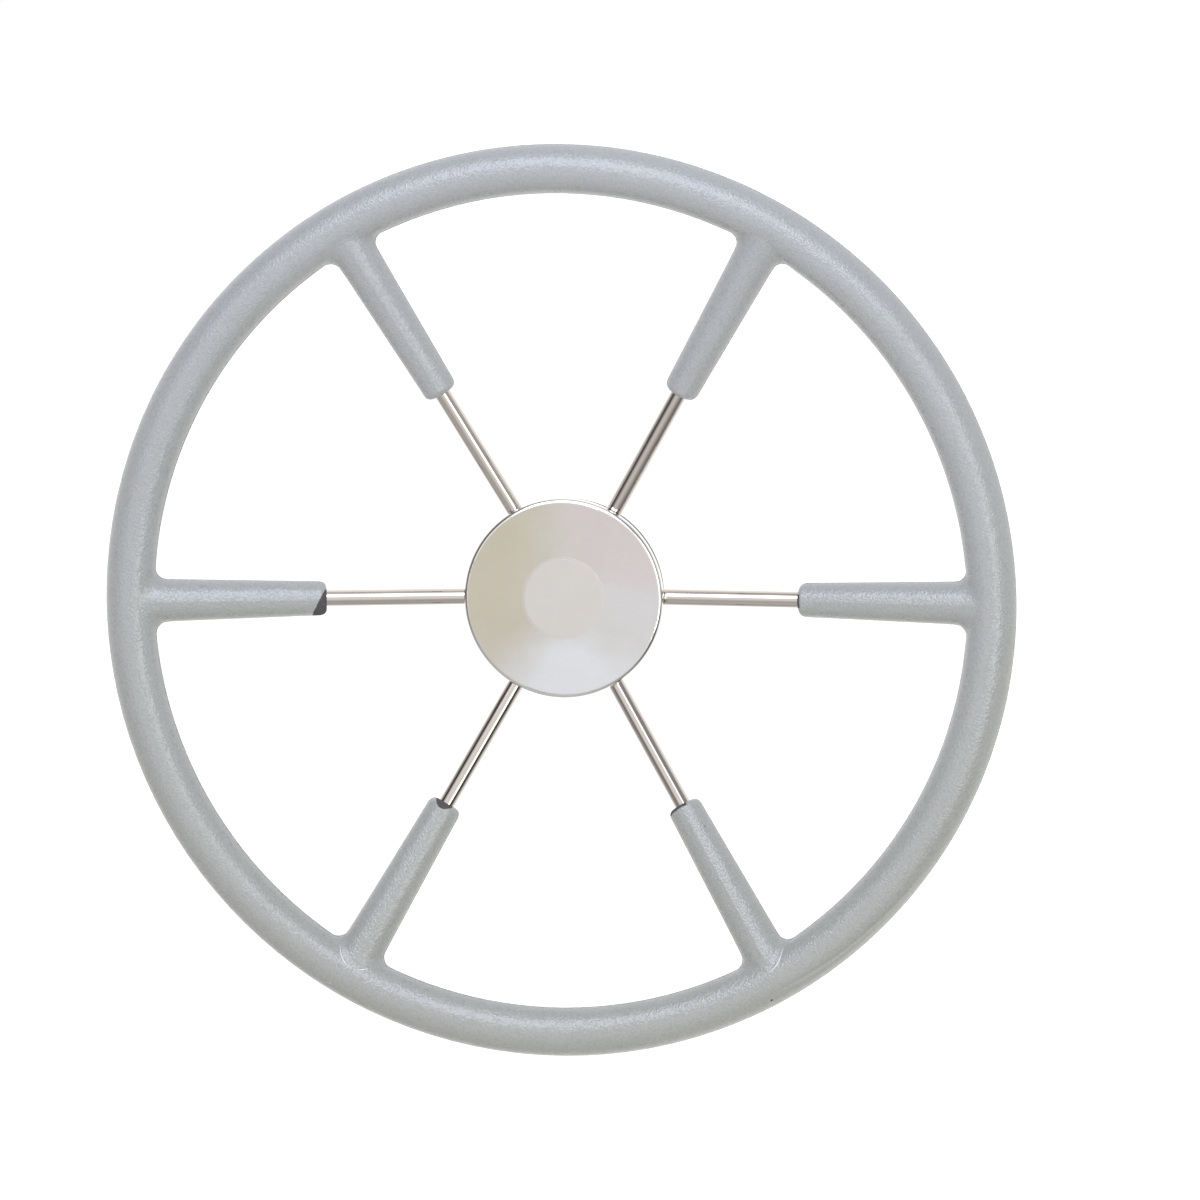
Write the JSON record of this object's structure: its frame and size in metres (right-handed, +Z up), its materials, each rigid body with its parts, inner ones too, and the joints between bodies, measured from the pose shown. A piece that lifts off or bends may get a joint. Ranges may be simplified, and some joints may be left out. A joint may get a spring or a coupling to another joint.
{
  "type": "boat steering wheel",
  "caption": "Dished boat steering wheel with polished round spokes, a grey moulded grip whose sleeves run down the spokes, and a flat pressed cap over a tapered-bore hub.",
  "frame": {"origin": "middle of the mouth of the tapered shaft bore, in the hub's rear face", "axes": "+Y along the shaft towards the helm, so the helmsman's side faces -Y; +Z up, with the keyway at the top and one spoke level to each side"},
  "size_m": [0.45, 0.0769, 0.4499],
  "materials": {
    "grip_skin": "fine leather grain, satin, over dark foam",
    "core_steel": "drawn bar",
    "spoke_steel": "polished stainless",
    "cap_steel": "spun brushed stainless with a polished edge",
    "hub_coating": "black powder coat on aluminium",
    "fastener_steel": "plain stainless",
    "cap_moulding": "black nylon",
    "seal_rubber": "nitrile ring"
  },
  "bodies": {
    "wheel": {"rim_grip": "grip_skin", "rim_core": "core_steel", "spoke_1": "spoke_steel", "spoke_2": "spoke_steel", "spoke_3": "spoke_steel", "spoke_4": "spoke_steel", "spoke_5": "spoke_steel", "spoke_6": "spoke_steel", "hub": "hub_coating", "spoke_grub_screws": "fastener_steel"},
    "cap": {"hub_cap": "cap_steel", "cap_spigot": "cap_moulding", "cap_seal": "seal_rubber"}
  },
  "joints": [
    {"name": "cap_pull", "type": "slide", "parent": "wheel", "child": "cap", "axis": [0, -1, 0], "range_m": [0, 0.04]}
  ]
}
